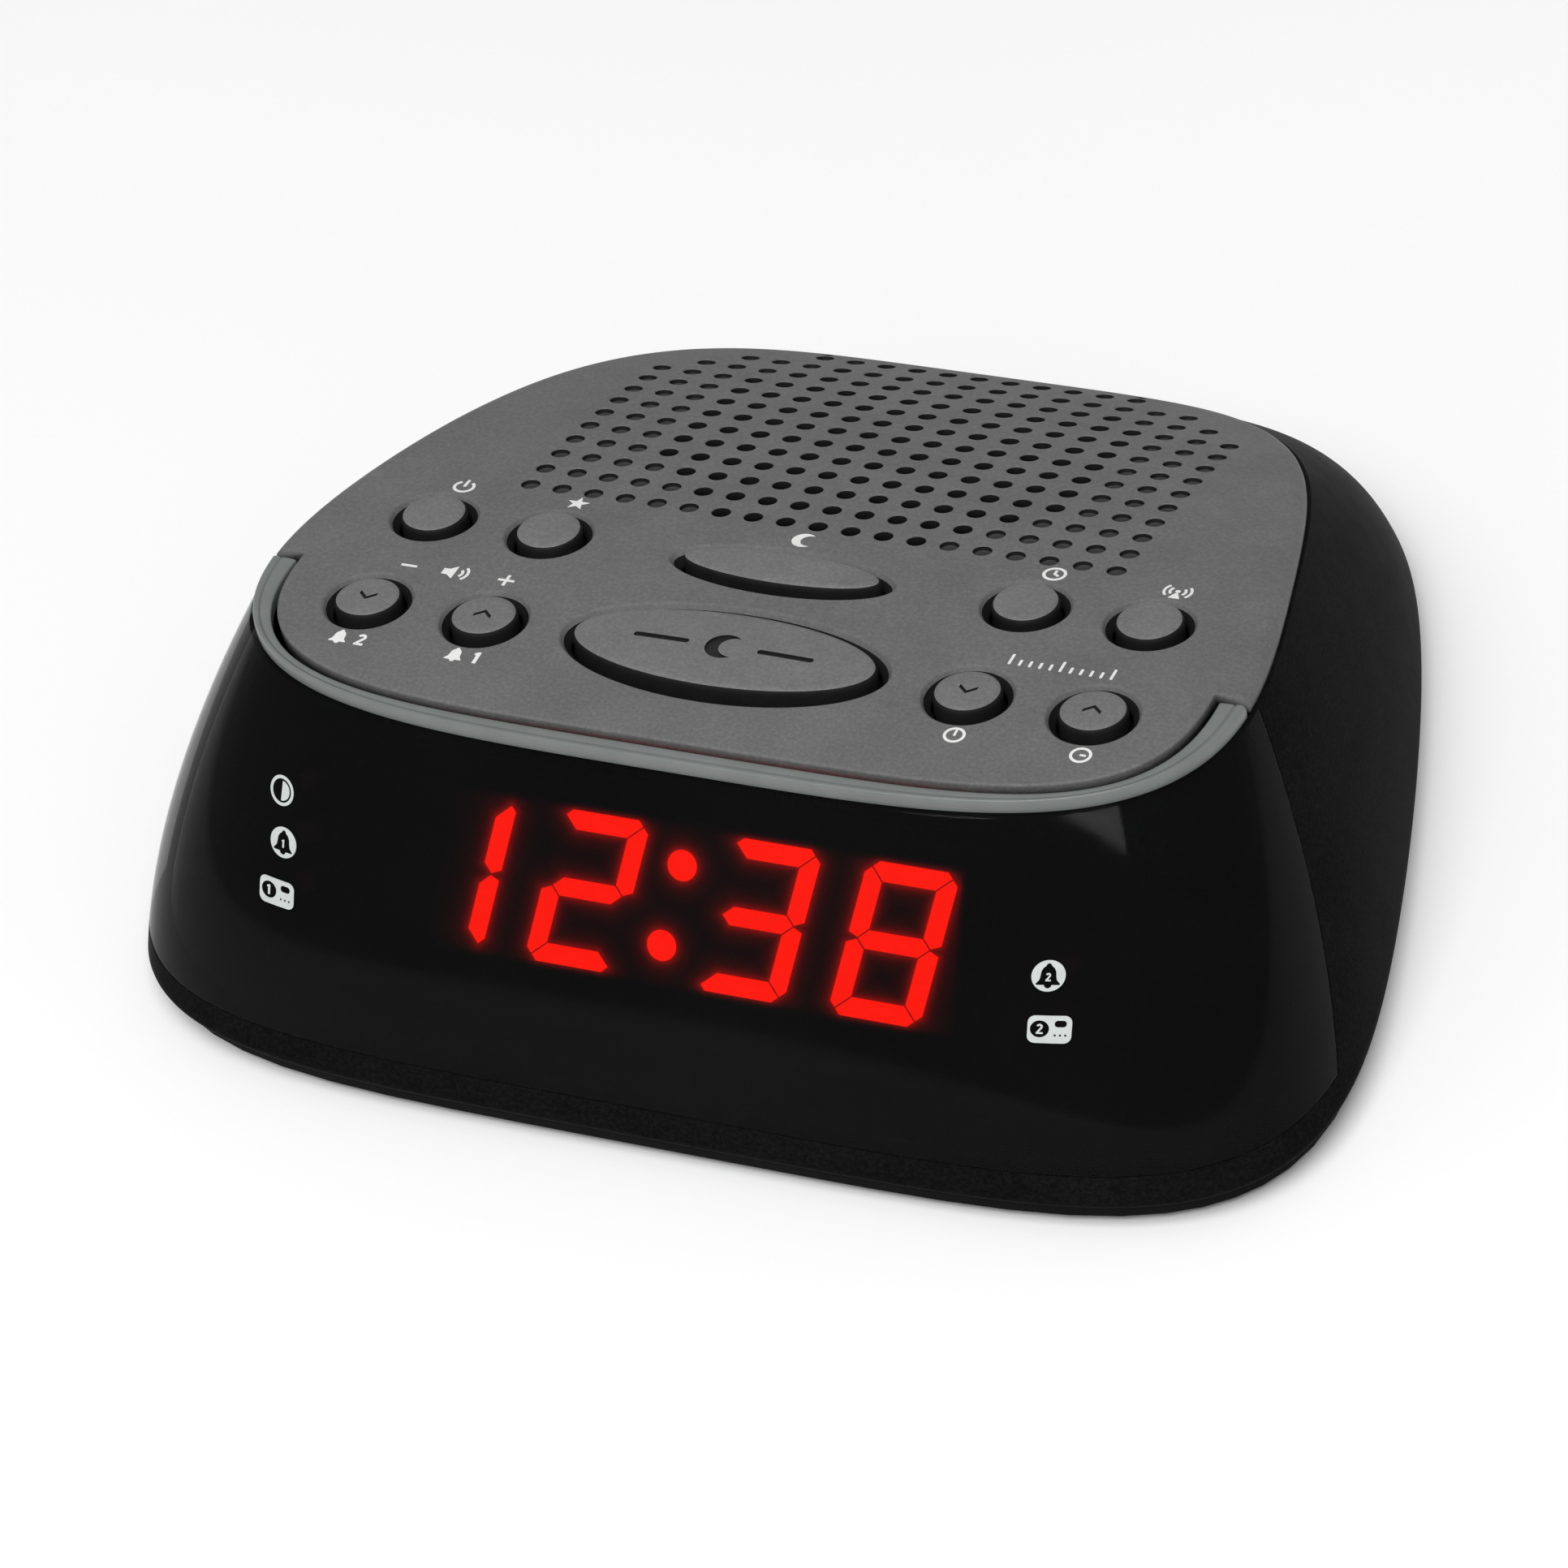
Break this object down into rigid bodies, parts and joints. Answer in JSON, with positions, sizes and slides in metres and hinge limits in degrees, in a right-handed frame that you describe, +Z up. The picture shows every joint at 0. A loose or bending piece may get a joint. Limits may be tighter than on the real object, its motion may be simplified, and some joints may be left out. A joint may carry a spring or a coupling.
{
  "type": "clock radio",
  "caption": "Mains clock radio with a wedge body, sloping smoked front window with a red digit display, arched grey top panel with speaker grille, push buttons and a snooze bar.",
  "frame": {"origin": "middle of the footprint on the surface the rubber feet stand on", "axes": "+X to the user's right, +Y to the back, +Z up; the display faces -Y"},
  "size_m": [0.131, 0.1142, 0.0404],
  "materials": {
    "cabinet_black": "fine satin texture, moulded ABS",
    "cover_black": "matt moulded ABS",
    "window_black": "polished smoked acrylic",
    "panel_grey": "soft matt paint on ABS",
    "trim_grey": "satin silver-grey paint",
    "button_grey": "soft matt ABS",
    "board_green": "solder resist on glass laminate",
    "board_brown": "phenolic paper laminate",
    "switch_black": "moulded nylon",
    "screw_steel": "zinc plated",
    "screw_black": "black zinc plated",
    "tin_plate": "bright tin plate",
    "chip_black": "moulded epoxy",
    "capacitor_blue": "shrink sleeve",
    "header_cream": "natural nylon",
    "reflector_grey": "moulded polycarbonate",
    "segment_red": "diffusing red epoxy, lit",
    "ribbon_grey": "flat cable sheath",
    "basket_steel": "black coated pressing",
    "magnet_grey": "sintered ferrite between plates",
    "surround_foam": "soft roll",
    "cone_paper": "pressed paper pulp",
    "core_iron": "varnished laminations",
    "winding_tape": "polyester tape over copper",
    "ferrite": "sintered ferrite",
    "coil_copper": "enamelled copper wire",
    "contact_nickel": "nickel plated spring steel",
    "gland_rubber": "moulded rubber",
    "foot_rubber": "moulded rubber"
  },
  "bodies": {
    "case": {"cabinet": "cabinet_black", "bottom_cover": "cover_black", "front_lens": "window_black", "top_panel": "panel_grey", "trim_strip": "trim_grey", "key_board": "board_green", "tactile_switches": "switch_black", "key_board_screws": "screw_steel", "main_board": "board_brown", "main_board_screws": "screw_steel", "tuner_shield": "tin_plate", "control_chips": "chip_black", "capacitors": "capacitor_blue", "board_headers": "header_cream", "display_board": "board_brown", "display_reflector": "reflector_grey", "display_segments": "segment_red", "indicator_leds": "segment_red", "display_ribbon": "ribbon_grey", "key_ribbon": "ribbon_grey", "speaker_basket": "basket_steel", "speaker_magnet": "magnet_grey", "speaker_surround": "surround_foam", "speaker_cone": "cone_paper", "speaker_screws": "screw_steel", "transformer_core": "core_iron", "transformer_bobbin": "winding_tape", "transformer_screws": "screw_steel", "ferrite_rod": "ferrite", "antenna_coil": "coil_copper", "rod_holders": "header_cream", "cell_contacts": "contact_nickel", "cord_gland": "gland_rubber", "rubber_feet": "foot_rubber", "case_screws": "screw_black"},
    "power_button": {"power_button": "button_grey"},
    "memory_button": {"memory_button": "button_grey"},
    "volume_down_button": {"volume_down_button": "button_grey"},
    "volume_up_button": {"volume_up_button": "button_grey"},
    "set_button": {"set_button": "button_grey"},
    "band_button": {"band_button": "button_grey"},
    "tuning_down_button": {"tuning_down_button": "button_grey"},
    "tuning_up_button": {"tuning_up_button": "button_grey"},
    "snooze_bar": {"snooze_bar": "button_grey"},
    "sleep_bar": {"sleep_bar": "button_grey"},
    "battery_door": {"battery_door": "cover_black"}
  },
  "joints": [
    {"name": "power_press", "type": "slide", "parent": "case", "child": "power_button", "axis": [0, -0.1011, -0.9949], "range_m": [0, 0.0007], "stiffness_N_per_m": 700, "springref_m": -0.0006},
    {"name": "memory_press", "type": "slide", "parent": "case", "child": "memory_button", "axis": [0, -0.1011, -0.9949], "range_m": [0, 0.0007], "stiffness_N_per_m": 700, "springref_m": -0.0006},
    {"name": "volume_down_press", "type": "slide", "parent": "case", "child": "volume_down_button", "axis": [0, -0.1011, -0.9949], "range_m": [0, 0.0007], "stiffness_N_per_m": 700, "springref_m": -0.0006},
    {"name": "volume_up_press", "type": "slide", "parent": "case", "child": "volume_up_button", "axis": [0, -0.1011, -0.9949], "range_m": [0, 0.0007], "stiffness_N_per_m": 700, "springref_m": -0.0006},
    {"name": "set_press", "type": "slide", "parent": "case", "child": "set_button", "axis": [0, -0.1011, -0.9949], "range_m": [0, 0.0007], "stiffness_N_per_m": 700, "springref_m": -0.0006},
    {"name": "band_press", "type": "slide", "parent": "case", "child": "band_button", "axis": [0, -0.1011, -0.9949], "range_m": [0, 0.0007], "stiffness_N_per_m": 700, "springref_m": -0.0006},
    {"name": "tuning_down_press", "type": "slide", "parent": "case", "child": "tuning_down_button", "axis": [0, -0.1011, -0.9949], "range_m": [0, 0.0007], "stiffness_N_per_m": 700, "springref_m": -0.0006},
    {"name": "tuning_up_press", "type": "slide", "parent": "case", "child": "tuning_up_button", "axis": [0, -0.1011, -0.9949], "range_m": [0, 0.0007], "stiffness_N_per_m": 700, "springref_m": -0.0006},
    {"name": "snooze_press", "type": "slide", "parent": "case", "child": "snooze_bar", "axis": [0, -0.1011, -0.9949], "range_m": [0, 0.0007], "stiffness_N_per_m": 900, "springref_m": -0.0006},
    {"name": "sleep_press", "type": "slide", "parent": "case", "child": "sleep_bar", "axis": [0, -0.1011, -0.9949], "range_m": [0, 0.0007], "stiffness_N_per_m": 700, "springref_m": -0.0006},
    {"name": "battery_door_slide", "type": "slide", "parent": "case", "child": "battery_door", "axis": [0, 1, 0], "range_m": [0, 0.028]}
  ]
}
